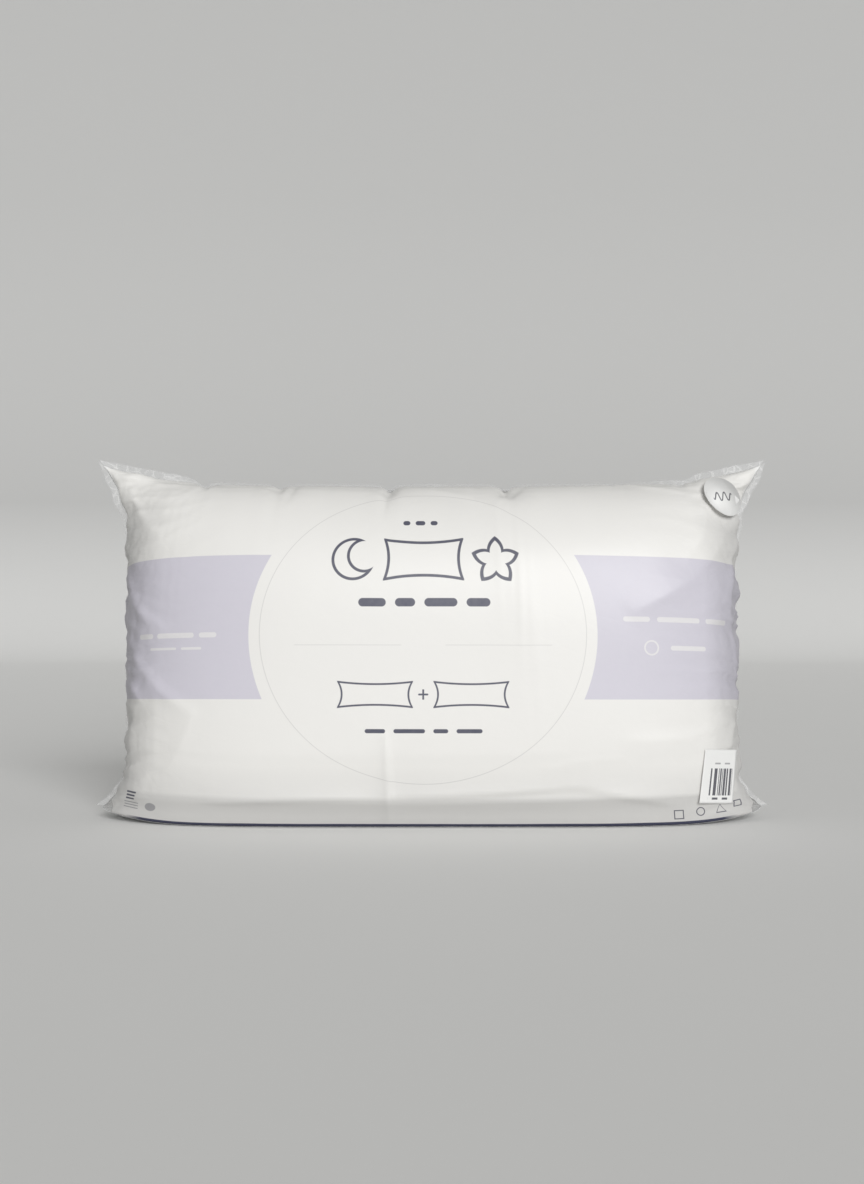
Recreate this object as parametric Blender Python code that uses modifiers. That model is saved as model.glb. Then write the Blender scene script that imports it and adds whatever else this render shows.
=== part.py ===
"""Two bed pillows sealed in a printed film bag, standing on a long edge.

Metres, +Z up, +X to the right of a person who faces the pack, who stands on the -Y side. The origin is
on the surface that the pack stands on, under its middle.
"""

from math import asin, copysign, cos, pi, radians, sin, sqrt

import bmesh
import bpy
from mathutils import Matrix, Vector

# ---- driving dimensions ----
BODY_WIDTH = 0.694  # the stuffed bag, without its ears and flaps
BODY_HEIGHT = 0.379  # from the surface it stands on to the top seam
BODY_DEPTH = 0.216  # across both pillows, at the fullest place
BASE_DEPTH = 0.172  # across the flat bottom
BELLY_HEIGHT = 0.150  # where the bag is deepest

FILM = 0.0004  # one layer of film
SEAL_WIDTH = 0.009  # clear margin outside each weld
EAR_REACH = 0.030  # how far an upper corner stands out past the side
EAR_RISE = 0.024  # how far it stands up past the top seam
FLAP_REACH = 0.034  # how far the bottom sheet sticks out past each side
FLAP_DEPTH = 0.090  # across a flap at its outer end
BASE_CORNER = 0.012  # rounding of the bottom sheet's corners
BASE_MARGIN = 0.0015  # how far the bottom sheet shows in front of the film and behind it

CLEARANCE = 0.0003  # between pieces that touch
CLOTH = 0.0008  # one layer of pillow cover
PILLOW_INSET = 0.014  # from the bag's side to a pillow's sewn edge
PILLOW_TOP_INSET = 0.008  # from the bag's top seam to a pillow's sewn edge
SEAM_RADIUS = 0.0013  # of the sewn edge
SEAM_GAP = CLOTH / 2 + 2 * CLEARANCE  # from the panels' rims to the sewn edge's thread
SEAM_PLANE = 0.019  # from the pack's middle to a pillow's sewn edge, along Y
RIM_SLACK = 0.0045  # how much looser the bag is at a pillow's edge than at its middle
CLOSING_LENGTH = 0.260  # of the seam that closes the filling opening
CORNER_DRAW = 0.016  # how far a pillow's corners are drawn in by their stitching
FILL_SHARE = (0.955, 0.93)  # of the pillow that the filling reaches, across and up

PRICE_LABEL_SIZE = (0.050, 0.044)
PRICE_LABEL_INSET = (0.029, 0.027)  # of its centre from the bag's side and from the top seam
PRICE_LABEL_TILT = radians(-10)
BARCODE_LABEL_SIZE = (0.052, 0.058)
BARCODE_LABEL_INSET = (0.041, 0.058)  # of its centre from the bag's side and from the bottom
BARCODE_LABEL_TILT = radians(4)
LABEL = 0.0004  # thickness of a sticker
LABEL_STANDOFF = 0.0009  # from the film's middle to a label's middle
CARE_LABEL_SIZE = (0.0010, 0.018, 0.030)

# ---- how the bag curves ----
SIDE_POWER = 5.0  # boxiness of the bag from side to side
TOP_POWER = 3.2  # boxiness from the belly up to the top seam
ROUND_POWER = 2.2  # roundness of the front at its edges
EAR_POWER = 9  # how close to the corner an ear keeps

COLUMNS, ROWS = 24, 14  # of the films' faces
PANEL_COLUMNS, PANEL_ROWS = 20, 12  # of the pillow covers' faces

PAPER_WHITE = (0.86, 0.86, 0.85, 1)
PRINTED_FILM = (0.80, 0.79, 0.77, 1)
LAVENDER = (0.60, 0.57, 0.68, 1)
CLEAR_FILM = (0.72, 0.74, 0.75, 1)
COVER_WHITE = (0.84, 0.84, 0.84, 1)
SEAM_WHITE = (0.78, 0.78, 0.78, 1)
FIBRE_WHITE = (0.90, 0.90, 0.88, 1)
LABEL_GREY = (0.66, 0.68, 0.72, 1)


def clear_scene():
    for old in list(bpy.data.objects):
        bpy.data.objects.remove(old, do_unlink=True)


def make_material(name, colour, roughness, metallic=0.0):
    material = bpy.data.materials.new(name)
    material.use_nodes = True
    shader = material.node_tree.nodes["Principled BSDF"]
    shader.inputs["Base Color"].default_value = colour
    shader.inputs["Roughness"].default_value = roughness
    shader.inputs["Metallic"].default_value = metallic
    material.diffuse_color = colour
    return material


def add_object(name, data, collection, material):
    data.materials.append(material)
    piece = bpy.data.objects.new(name, data)
    collection.objects.link(piece)
    return piece


def solidify(piece, thickness):
    """Gives an open sheet its thickness, half to each side."""
    modifier = piece.modifiers.new("Thickness", "SOLIDIFY")
    modifier.thickness = thickness
    modifier.offset = 0.0
    modifier.use_even_offset = False


# ---- the bag's shape ----
def half_depth(z):
    """From the pack's middle plane to the film, at x = 0 and height z."""
    full = BODY_DEPTH / 2
    if z < BELLY_HEIGHT:
        drop = (BELLY_HEIGHT - z) / BELLY_HEIGHT
        return full - (full - BASE_DEPTH / 2) * drop**2.4
    rise = min(1.0, (z - BELLY_HEIGHT) / (BODY_HEIGHT - BELLY_HEIGHT))
    return full * (1 - rise**TOP_POWER) ** (1 / ROUND_POWER)


def film_depth(x, z):
    """From the middle plane to the film at (x, z)."""
    side = min(1.0, abs(x) / (BODY_WIDTH / 2))
    return half_depth(z) * (1 - side**SIDE_POWER) ** (1 / ROUND_POWER)


def ear_pull(x, z):
    """How far a point of the film is drawn towards its upper corner."""
    side = abs(x) / (BODY_WIDTH / 2)
    return (side * z / BODY_HEIGHT) ** EAR_POWER


def film_point(across, up, facing):
    """A point of the front (facing -1) or back (facing 1) film, from a place on a square of -1 to 1."""
    x = BODY_WIDTH / 2 * sin(pi / 2 * across)
    z_low = FILM + CLEARANCE
    z = z_low + (BODY_HEIGHT - z_low) * sin(pi / 4 * (up + 1))
    pull = ear_pull(x, z)
    split = FILM / 2 + CLEARANCE / 2
    y = facing * (film_depth(x, z) + split)
    side = 1 if x > 0 else -1
    return Vector((x + side * EAR_REACH * pull, y, z + EAR_RISE * pull))


def shaped_grid(columns, rows, place):
    """A mesh of columns by rows quads whose points are place(across, up)."""
    mesh = bpy.data.meshes.new("sheet")
    shape = bmesh.new()
    bmesh.ops.create_grid(shape, x_segments=columns, y_segments=rows, size=1.0)
    for vertex in shape.verts:
        vertex.co = place(vertex.co.x, vertex.co.y)
    shape.normal_update()
    shape.to_mesh(mesh)
    shape.free()
    mesh.shade_smooth()
    return mesh


def add_film(name, facing, collection, material):
    mesh = shaped_grid(COLUMNS, ROWS, lambda across, up: film_point(across, up, facing))
    if facing > 0:
        mesh.flip_normals()
    solidify(add_object(name, mesh, collection, material), FILM)


def base_outline():
    """The bottom sheet seen from above: the bag's foot with a narrowing flap at each end."""
    reach = BODY_WIDTH / 2 + FLAP_REACH
    shoulder = BODY_WIDTH / 2 - BASE_CORNER
    half = BASE_DEPTH / 2 + BASE_MARGIN
    quarter = [
        (reach, FLAP_DEPTH / 2 - BASE_CORNER),
        (reach - BASE_CORNER * 0.3, FLAP_DEPTH / 2 - BASE_CORNER * 0.3),
        (reach - BASE_CORNER, FLAP_DEPTH / 2 + BASE_CORNER * 0.2),
        (shoulder, half - BASE_CORNER * 0.4),
        (shoulder - BASE_CORNER, half),
    ]
    back = quarter + [(-x, y) for x, y in reversed(quarter)]
    return back + [(x, -y) for x, y in reversed(back)]


def add_base(collection, material):
    mesh = bpy.data.meshes.new("base")
    shape = bmesh.new()
    corners = [shape.verts.new((x, y, 0.0)) for x, y in base_outline()]
    sheet = shape.faces.new(corners)
    risen = bmesh.ops.extrude_face_region(shape, geom=[sheet])
    top = [item for item in risen["geom"] if isinstance(item, bmesh.types.BMVert)]
    bmesh.ops.translate(shape, verts=top, vec=(0, 0, FILM))
    bmesh.ops.recalc_face_normals(shape, faces=shape.faces)
    shape.to_mesh(mesh)
    shape.free()
    add_object("bag_base_gusset", mesh, collection, material)


# ---- the welded margins ----
def seal_mesh(inner, outward):
    """A flat strip in the middle plane from the points inner, SEAL_WIDTH wide towards outward."""

    def place(along, out):
        index = round((along + 1) / 2 * (len(inner) - 1))
        start = inner[index] + outward[index] * CLEARANCE * 2
        return start + outward[index] * SEAL_WIDTH * (out + 1) / 2

    return shaped_grid(len(inner) - 1, 1, place)


def seam_line(points):
    """Points of the film's edge in the middle plane, with the direction out of the bag at each."""
    flat = [Vector((point.x, 0.0, point.z)) for point in points]
    outward = []
    for index in range(len(flat)):
        before = flat[max(0, index - 1)]
        after = flat[min(len(flat) - 1, index + 1)]
        run = (after - before).normalized()
        outward.append(Vector((-run.z, 0.0, run.x)))
    return flat, outward


def add_top_seal(collection, material):
    steps = [2 * i / COLUMNS - 1 for i in range(COLUMNS + 1)]
    flat, outward = seam_line([film_point(across, 1.0, -1) for across in steps])
    piece = add_object("bag_top_seal", seal_mesh(flat, outward), collection, material)
    solidify(piece, 2 * FILM)


def add_side_seal(name, side, collection, material):
    steps = [2 * i / ROWS - 1 for i in range(ROWS + 1)]
    points = [film_point(side, up, -1) for up in steps]
    flat, outward = seam_line(points)
    if side > 0:
        outward = [-direction for direction in outward]
    piece = add_object(name, seal_mesh(flat, outward), collection, material)
    solidify(piece, 2 * FILM)


# ---- labels on the film ----
def rounded(across, up, power):
    """A place on a square moved to the same place on a rounded rectangle."""
    largest = max(abs(across), abs(up))
    if largest == 0:
        return 0.0, 0.0
    ring = (abs(across / largest) ** power + abs(up / largest) ** power) ** (1 / power)
    return across / ring, up / ring


def film_surface(x, z, lift):
    """A point on the front film at (x, z), lifted off it by lift, away from the bag."""
    step = 0.002

    def raw(px, pz):
        return Vector((px, -film_depth(px, pz), pz))

    slope_x = raw(x + step, z) - raw(x - step, z)
    slope_z = raw(x, z + step) - raw(x, z - step)
    outward = slope_x.cross(slope_z).normalized()
    return raw(x, z) + outward * lift


def label_mesh(size, centre, tilt, power):
    """A sticker that follows the front film; power sets how square its corners are."""

    def place(across, up):
        flat_x, flat_z = rounded(across, up, power)
        local_x = flat_x * size[0] / 2
        local_z = flat_z * size[1] / 2
        x = centre[0] + local_x * cos(tilt) - local_z * sin(tilt)
        z = centre[1] + local_x * sin(tilt) + local_z * cos(tilt)
        return film_surface(x, z, LABEL_STANDOFF)

    return shaped_grid(8, 8, place)


# ---- the pillows ----
PILLOW_HALF_WIDTH = BODY_WIDTH / 2 - PILLOW_INSET
PILLOW_BOTTOM = FILM + CLEARANCE + 2 * SEAM_RADIUS + SEAM_GAP
PILLOW_TOP = BODY_HEIGHT - PILLOW_TOP_INSET
PILLOW_MIDDLE = (PILLOW_TOP + PILLOW_BOTTOM) / 2
PILLOW_HALF_HEIGHT = (PILLOW_TOP - PILLOW_BOTTOM) / 2
SEAM_POINTS = 56
CLOSING_POINTS = 10
SEAM_BREAK = 0.004  # of a turn, between the two seams


def pillow_place(across, up):
    """A place inside a pillow's sewn edge, from a place on a square of -1 to 1."""
    side, height = sin(pi / 2 * across), sin(pi / 2 * up)
    draw = CORNER_DRAW * abs(side * height) ** 8
    x = PILLOW_HALF_WIDTH * side - draw * copysign(1, side)
    z = PILLOW_MIDDLE + PILLOW_HALF_HEIGHT * height - draw * copysign(1, height)
    return x, z


def rim_rise(across, up):
    """0 at a pillow's sewn edge, rising quickly to 1 inside it."""
    x = abs(sin(pi / 2 * across))
    z = abs(sin(pi / 2 * up))
    return sqrt(max(0.0, (1 - x**10) * (1 - z**10)))


def outer_depth(across, up):
    """From the middle plane to the outside of a pillow's outer panel."""
    x, z = pillow_place(across, up)
    edge = max(abs(sin(pi / 2 * across)), abs(sin(pi / 2 * up)))
    slack = FILM + CLEARANCE + RIM_SLACK * edge**4
    room = max(SEAM_PLANE, film_depth(x, z) - slack)
    return SEAM_PLANE + (room - SEAM_PLANE) * rim_rise(across, up)


def inner_depth(across, up):
    """From the middle plane to the outside of a pillow's inner panel."""
    return SEAM_PLANE - (SEAM_PLANE - CLEARANCE / 2) * rim_rise(across, up)


def add_panel(name, facing, outer, collection, material):
    half_split = CLEARANCE / 2 + CLOTH / 2

    def place(across, up):
        x, z = pillow_place(across, up)
        if outer:
            sunk = outer_depth(across, up) - CLOTH / 2
            depth = max(SEAM_PLANE + half_split, sunk + half_split * (1 - rim_rise(across, up)))
        else:
            depth = min(SEAM_PLANE - half_split, inner_depth(across, up) + CLOTH / 2)
        return Vector((x, facing * depth, z))

    mesh = shaped_grid(PANEL_COLUMNS, PANEL_ROWS, place)
    if (facing > 0) == outer:
        mesh.flip_normals()
    solidify(add_object(name, mesh, collection, material), CLOTH)


def add_fill(name, facing, collection, material):
    """The filling: two shaped sheets joined round their rim into one closed body."""
    inset = CLOTH + CLEARANCE * 3
    shape = bmesh.new()
    for outer in (True, False):
        made = bmesh.ops.create_grid(shape, x_segments=PANEL_COLUMNS, y_segments=PANEL_ROWS, size=1.0)
        for vertex in made["verts"]:
            rise = rim_rise(vertex.co.x, vertex.co.y)
            across, up = vertex.co.x * FILL_SHARE[0], vertex.co.y * FILL_SHARE[1]
            if outer:
                swell = max(0.0, outer_depth(across, up) - inset - SEAM_PLANE)
            else:
                swell = min(0.0, inner_depth(across, up) + inset - SEAM_PLANE)
            x, z = pillow_place(across, up)
            vertex.co = (x, facing * (SEAM_PLANE + swell * rise), z)
    bmesh.ops.remove_doubles(shape, verts=shape.verts, dist=0.00005)
    bmesh.ops.recalc_face_normals(shape, faces=shape.faces)
    mesh = bpy.data.meshes.new("fill")
    shape.to_mesh(mesh)
    shape.free()
    mesh.shade_smooth()
    add_object(name, mesh, collection, material)


def edge_point(turn, facing):
    """A point just outside a pillow's sewn edge; turn runs once round from 0 to 1, from the bottom middle."""
    side = (turn * 4 + 0.5) % 4
    along = 2 * (side % 1) - 1
    across, up = [(along, -1), (1, along), (-along, 1), (-1, -along)][int(side)]
    x, z = pillow_place(across, up)
    out_x = (x / PILLOW_HALF_WIDTH) ** 5
    out_z = ((z - PILLOW_MIDDLE) / PILLOW_HALF_HEIGHT) ** 5
    away = Vector((out_x, 0, out_z)).normalized()
    return Vector((x, facing * SEAM_PLANE, z)) + away * (SEAM_RADIUS + SEAM_GAP)


def add_seam(name, turns, facing, collection, material):
    curve = bpy.data.curves.new(name, "CURVE")
    curve.dimensions = "3D"
    curve.bevel_depth = SEAM_RADIUS
    curve.bevel_resolution = 1
    curve.use_fill_caps = True
    spline = curve.splines.new("POLY")
    spline.points.add(len(turns) - 1)
    for point, turn in zip(spline.points, turns):
        point.co = (*edge_point(turn, facing), 1)
    add_object(name, curve, collection, material)


def add_care_label(name, facing, collection, material):
    mesh = bpy.data.meshes.new(name)
    shape = bmesh.new()
    bmesh.ops.create_cube(shape, size=1.0, matrix=Matrix.Diagonal((*CARE_LABEL_SIZE, 1)))
    shape.to_mesh(mesh)
    shape.free()
    piece = add_object(name, mesh, collection, material)
    edge = edge_point(0.25, facing)
    out = SEAM_RADIUS + CLEARANCE + CARE_LABEL_SIZE[0] / 2
    piece.location = (edge.x + out, edge.y, edge.z)


def add_pillow(prefix, facing, collection, materials):
    outer_side, inner_side = ("front", "back") if facing < 0 else ("back", "front")
    add_panel(f"{prefix}_cover_{outer_side}", facing, True, collection, materials["cover"])
    add_panel(f"{prefix}_cover_{inner_side}", facing, False, collection, materials["cover"])
    add_fill(f"{prefix}_fibre_fill", facing, collection, materials["fibre"])
    half_closing = asin(CLOSING_LENGTH / 2 / PILLOW_HALF_WIDTH) / (4 * pi)
    start = half_closing + SEAM_BREAK
    around = [start + (1 - 2 * start) * i / (SEAM_POINTS - 1) for i in range(SEAM_POINTS)]
    add_seam(f"{prefix}_edge_seam", around, facing, collection, materials["seam"])
    closing = [half_closing * (2 * i / (CLOSING_POINTS - 1) - 1) % 1 for i in range(CLOSING_POINTS)]
    add_seam(f"{prefix}_closing_seam", closing, facing, collection, materials["seam"])
    add_care_label(f"{prefix}_care_label", facing, collection, materials["tag"])


def main():
    clear_scene()
    collection = bpy.data.collections.new("bagged_pillow_twin_pack")
    bpy.context.scene.collection.children.link(collection)
    materials = {
        "printed": make_material("printed_film", PRINTED_FILM, 0.28),
        "gusset": make_material("lavender_film", LAVENDER, 0.30),
        "clear": make_material("clear_film", CLEAR_FILM, 0.12),
        "paper": make_material("label_paper", PAPER_WHITE, 0.55),
        "cover": make_material("microfibre", COVER_WHITE, 0.85),
        "seam": make_material("sewing_thread", SEAM_WHITE, 0.80),
        "fibre": make_material("hollow_fibre", FIBRE_WHITE, 0.95),
        "tag": make_material("woven_tag", LABEL_GREY, 0.70),
    }
    add_film("bag_front_film", -1, collection, materials["printed"])
    add_film("bag_back_film", 1, collection, materials["printed"])
    add_base(collection, materials["gusset"])
    add_top_seal(collection, materials["clear"])
    add_side_seal("bag_left_seal", -1, collection, materials["clear"])
    add_side_seal("bag_right_seal", 1, collection, materials["clear"])
    price_centre = (BODY_WIDTH / 2 - PRICE_LABEL_INSET[0], BODY_HEIGHT - PRICE_LABEL_INSET[1])
    price = label_mesh(PRICE_LABEL_SIZE, price_centre, PRICE_LABEL_TILT, 2.3)
    barcode_centre = (BODY_WIDTH / 2 - BARCODE_LABEL_INSET[0], BARCODE_LABEL_INSET[1])
    barcode = label_mesh(BARCODE_LABEL_SIZE, barcode_centre, BARCODE_LABEL_TILT, 9.0)
    for name, mesh in (("price_label", price), ("barcode_label", barcode)):
        solidify(add_object(name, mesh, collection, materials["paper"]), LABEL)
    add_pillow("front_pillow", -1, collection, materials)
    add_pillow("rear_pillow", 1, collection, materials)


main()
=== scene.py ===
from math import pi, radians, sin

import bmesh
import bpy
import numpy as np
from bpy.props import FloatProperty, FloatVectorProperty, PointerProperty
from mathutils import Matrix, Vector, noise
from mathutils.bvhtree import BVHTree


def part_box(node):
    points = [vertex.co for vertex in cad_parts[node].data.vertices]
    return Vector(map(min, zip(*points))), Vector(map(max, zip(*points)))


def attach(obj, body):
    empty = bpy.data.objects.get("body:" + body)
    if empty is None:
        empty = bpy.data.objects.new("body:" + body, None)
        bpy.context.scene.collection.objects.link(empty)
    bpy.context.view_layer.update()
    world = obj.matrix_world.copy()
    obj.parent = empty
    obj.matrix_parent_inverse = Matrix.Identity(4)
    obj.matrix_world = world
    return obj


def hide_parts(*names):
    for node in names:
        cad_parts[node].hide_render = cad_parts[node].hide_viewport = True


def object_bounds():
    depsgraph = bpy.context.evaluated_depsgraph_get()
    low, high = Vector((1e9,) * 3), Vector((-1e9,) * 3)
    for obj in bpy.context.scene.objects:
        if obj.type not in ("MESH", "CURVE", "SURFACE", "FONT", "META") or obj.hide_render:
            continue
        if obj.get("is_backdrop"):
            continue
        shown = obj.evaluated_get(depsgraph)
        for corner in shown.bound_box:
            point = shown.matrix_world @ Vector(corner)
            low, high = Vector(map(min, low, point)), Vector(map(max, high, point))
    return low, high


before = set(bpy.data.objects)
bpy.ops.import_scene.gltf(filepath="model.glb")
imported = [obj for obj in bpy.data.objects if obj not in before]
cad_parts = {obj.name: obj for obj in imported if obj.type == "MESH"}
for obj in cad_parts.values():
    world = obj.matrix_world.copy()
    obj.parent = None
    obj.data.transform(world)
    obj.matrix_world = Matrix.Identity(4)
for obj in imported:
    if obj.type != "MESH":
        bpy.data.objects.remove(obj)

bl_info = {
    "name": "Bagged pillow twin pack",
    "version": (1, 0, 0),
    "blender": (4, 5, 0),
    "location": "View3D > Sidebar > Twin pack",
    "description": "Builds two bed pillows in a puffed printed film bag, piece by piece",
    "category": "Object",
}

CAD_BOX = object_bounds()
FILM_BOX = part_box("bag_front_film")

# The bag's outline, in metres, from the packed films. Powers give how square each curve is.
EAR_TIP = FILM_BOX[1].x
EAR_TOP = FILM_BOX[1].z
DEEPEST = -FILM_BOX[0].y
BODY_HALF = EAR_TIP * 0.921
BODY_TOP = EAR_TOP * 0.940
BELLY = BODY_TOP * 0.40
BASE_HALF_DEPTH = DEEPEST * 0.79
FLOOR_GAP = 0.0012
LOW_EAR_RISE = 0.013
EAR_DROP = 0.066
LOW_EAR_DROP = 0.036
SIDE_POWER = 5.0
ROUND_POWER = 2.2
TOP_POWER = 3.2
BELLY_POWER = 2.4
EAR_POWER = 5.5
EAR_SIDE_POWER = 1.5
LOW_EAR_SIDE_POWER = 1.8
LOW_EAR_POWER = 14
EDGE_REACH = 0.045

# The softness of a printed edge, and of the edge of a fine line.
INK_EDGE = 0.0006
FINE_EDGE = 0.0005
SMALL_EDGE = 0.0004

# The film's grid: the simulated one, and how much finer the finished one is.
COLUMNS, ROWS = 140, 72
FINER = 2
BASE_ROWS = 40

# Gathers in the top weld: place along it, depth and half width.
GATHERS = (
    (-0.262, 0.008, 0.008),
    (-0.175, 0.008, 0.006),
    (-0.049, 0.010, 0.007),
    (0.084, 0.009, 0.008),
    (0.288, 0.006, 0.013),
)
GATHER_POWER = 1.3


# ---------------------------------------------------------------- settings


def length(name, description, default):
    return FloatProperty(name=name, description=description, default=default, unit="LENGTH")


def share(name, description, default):
    return FloatProperty(name=name, description=description, default=default, subtype="FACTOR")


def colour(name, description, default):
    return FloatVectorProperty(
        name=name, description=description, default=default, subtype="COLOR", size=3, min=0, max=1
    )


class TwinPackFilm(bpy.types.PropertyGroup):
    """The printed film, its clear welds and its creases."""

    thickness: length("Film thickness", "Thickness of the polythene film", 0.0003)
    margin: length("Weld margin", "Width of clear film outside each weld", 0.009)
    pressure: FloatProperty(
        name="Filling pressure", description="How hard the pillows push the film out", default=5.0
    )
    creasing: share("Creasing", "Height of the creases, 1 as packed", 1.0)
    film_colour: colour("Film", "Warm white ground of the print", (0.825, 0.815, 0.792))
    band_colour: colour("Band", "Lavender band across both faces", (0.615, 0.596, 0.668))
    ink_colour: colour("Ink", "Navy ink of the pictograms", (0.042, 0.045, 0.085))
    rule_colour: colour("Fine line", "Grey ink of the ring and the fine rule", (0.62, 0.61, 0.60))
    clear_colour: colour("Clear film", "Tint of the unprinted film", (0.86, 0.87, 0.88))
    # Painted shade: the film's colour is drawn towards this near-black beside the side welds and along the
    # foot, where shade falls.
    painted_shade_colour: colour("Hollow", "Shows through where no pillow is behind", (0.12, 0.12, 0.13))


class TwinPackLabels(bpy.types.PropertyGroup):
    """The two stickers."""

    price_size: length("Price sticker", "Diameter of the round sticker", 0.050)
    price_lift: length("Sticker lift", "How far its loose side stands off the film", 0.003)
    barcode_width: length("Barcode width", "Width of the barcode sticker", 0.050)
    barcode_height: length("Barcode height", "Height of the barcode sticker", 0.060)
    paper_colour: colour("Paper", "White sticker paper", (0.845, 0.845, 0.835))
    ink_colour: colour("Ink", "Dark label ink", (0.05, 0.05, 0.07))


class TwinPackPillows(bpy.types.PropertyGroup):
    """The two pillows in the bag."""

    cloth: length("Cover thickness", "Thickness of the microfibre cover", 0.0006)
    pucker: length("Seam puckers", "Depth of the puckers along the seam", 0.0018)
    lump: length("Fibre lumps", "Depth of the hollows in the filling", 0.0040)
    cover_colour: colour("Cover", "Brushed white microfibre", (0.82, 0.82, 0.82))
    thread_colour: colour("Thread", "Overlocked polyester thread", (0.70, 0.70, 0.70))
    fibre_colour: colour("Fibre", "Siliconised hollow fibre", (0.86, 0.86, 0.84))
    tag_colour: colour("Tag", "Woven care tag", (0.68, 0.70, 0.74))


class TwinPackStage(bpy.types.PropertyGroup):
    """The floor, the lights and the camera."""

    floor_colour: colour("Floor", "Pale grey studio paper", (0.84, 0.84, 0.83))
    camera_distance: length("Camera distance", "From the middle of the pack", 1.886)
    camera_height: length("Camera height", "Above the floor", 0.258)
    key_strength: FloatProperty(name="Key light", description="Soft main light from the front", default=2.25)
    key_softness: FloatProperty(
        name="Key softness", description="How wide the main light is", default=radians(30), subtype="ANGLE"
    )
    ambient: share("Ambient light", "Strength of the even light all round", 0.31)


# ---------------------------------------------------------------- shader maths


class Signal:
    """A number in a shader. Python's operators on it add Math nodes."""

    def __init__(self, finish, socket):
        self.finish = finish
        self.socket = socket

    def maths(self, operation, *others, first=None):
        start = self if first is None else first
        node = self.finish.node("ShaderNodeMath", {"operation": operation})
        for slot, value in zip(node.inputs, (start, *others)):
            self.finish.feed(slot, value)
        return Signal(self.finish, node.outputs[0])

    def __add__(self, other):
        return self.maths("ADD", other)

    __radd__ = __add__

    def __sub__(self, other):
        return self.maths("SUBTRACT", other)

    def __rsub__(self, other):
        return self.maths("SUBTRACT", self, first=other)

    def __mul__(self, other):
        return self.maths("MULTIPLY", other)

    __rmul__ = __mul__

    def __truediv__(self, other):
        return self.maths("DIVIDE", other)

    def __pow__(self, other):
        return self.maths("POWER", other)

    def __abs__(self):
        return self.maths("ABSOLUTE")

    def min(self, other):
        return self.maths("MINIMUM", other)

    def max(self, other):
        return self.maths("MAXIMUM", other)

    def sine(self):
        return self.maths("SINE")

    def floor(self):
        return self.maths("FLOOR")

    def fraction(self):
        return self.maths("FRACT")

    def angle(self, other):
        return self.maths("ARCTAN2", other)

    def below(self, limit, soft=INK_EDGE):
        """1 where the value is under the limit, 0 above it, with a soft edge."""
        return ((limit - self) * (1 / soft) + 0.5).max(0).min(1)


class Finish:
    """A material in the making."""

    def __init__(self, name):
        self.material = bpy.data.materials.new(name)
        self.material.use_nodes = True
        self.tree = self.material.node_tree
        self.shader = self.tree.nodes["Principled BSDF"]

    def feed(self, slot, value):
        """Links a socket or a signal to an input, or sets it to a plain value."""
        if isinstance(value, Signal):
            value = value.socket
        if isinstance(value, bpy.types.NodeSocket):
            self.tree.links.new(value, slot)
        else:
            slot.default_value = value

    def node(self, kind, settings=None, inputs=None):
        made = self.tree.nodes.new(kind)
        for name, value in (settings or {}).items():
            setattr(made, name, value)
        for name, value in (inputs or {}).items():
            self.feed(made.inputs[name], value)
        return made

    def place(self, attribute=None):
        """The three numbers of an attribute, or of the object's own coordinates."""
        if attribute:
            source = self.node("ShaderNodeAttribute", {"attribute_name": attribute}).outputs["Vector"]
        else:
            source = self.node("ShaderNodeTexCoord").outputs["Object"]
        parts = self.node("ShaderNodeSeparateXYZ", inputs={"Vector": source})
        return source, [Signal(self, parts.outputs[k]) for k in range(3)]

    def noise(self, vector, scale, detail=2.0, roughness=0.5, distortion=0.0):
        inputs = {
            "Vector": vector,
            "Scale": scale,
            "Detail": detail,
            "Roughness": roughness,
            "Distortion": distortion,
        }
        return Signal(self, self.node("ShaderNodeTexNoise", inputs=inputs).outputs["Fac"])

    def cracks(self, vector, scale):
        """The distance to the nearest border of a network of cells."""
        settings = {"feature": "DISTANCE_TO_EDGE"}
        inputs = {"Vector": vector, "Scale": scale}
        return Signal(self, self.node("ShaderNodeTexVoronoi", settings, inputs).outputs["Distance"])

    def stretched(self, vector, scale, turn=0.0):
        settings = {"vector_type": "POINT"}
        inputs = {"Vector": vector, "Scale": scale, "Rotation": (0, 0, turn)}
        return self.node("ShaderNodeMapping", settings, inputs).outputs["Vector"]

    def blend(self, mask, under, over):
        """Colour over lies on colour under where the mask is 1."""
        settings = {"data_type": "RGBA"}
        inputs = {0: mask, 6: as_colour(under), 7: as_colour(over)}
        return self.node("ShaderNodeMix", settings, inputs).outputs[2]

    def bump(self, height, strength, distance, normal=None):
        inputs = {"Strength": strength, "Distance": distance, "Height": height}
        if normal is not None:
            inputs["Normal"] = normal
        return self.node("ShaderNodeBump", inputs=inputs).outputs["Normal"]

    def set(self, **values):
        """Sets the shader's sockets, with underscores for the spaces in their names."""
        for name, value in values.items():
            self.feed(self.shader.inputs[name.replace("_", " ")], value)


def as_colour(value):
    """A colour property as four numbers; sockets pass through."""
    if isinstance(value, (bpy.types.NodeSocket, Signal)):
        return value
    return (*value, 1.0)


def bar(place, centre, half_length, half_height, soft=INK_EDGE):
    """A round-ended bar lying level."""
    along = (abs(place[0] - centre[0]) - (half_length - half_height)).max(0)
    away = (along * along + (place[1] - centre[1]) ** 2).maths("SQRT")
    return away.below(half_height, soft)


def stroke(distance, half_width, soft=INK_EDGE):
    """A line drawn where a distance is nought."""
    return abs(distance).below(half_width, soft)


def outlined(mask_list):
    """The union of several masks."""
    whole = mask_list[0]
    for mask in mask_list[1:]:
        whole = whole.max(mask)
    return whole


def circle_gap(place, centre, radius, flatten=1.0):
    """The distance from a circle, or from one that is flattened a little."""
    up = (place[1] - centre[1]) * (1 / flatten)
    return ((place[0] - centre[0]) ** 2 + up * up).maths("SQRT") - radius


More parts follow.
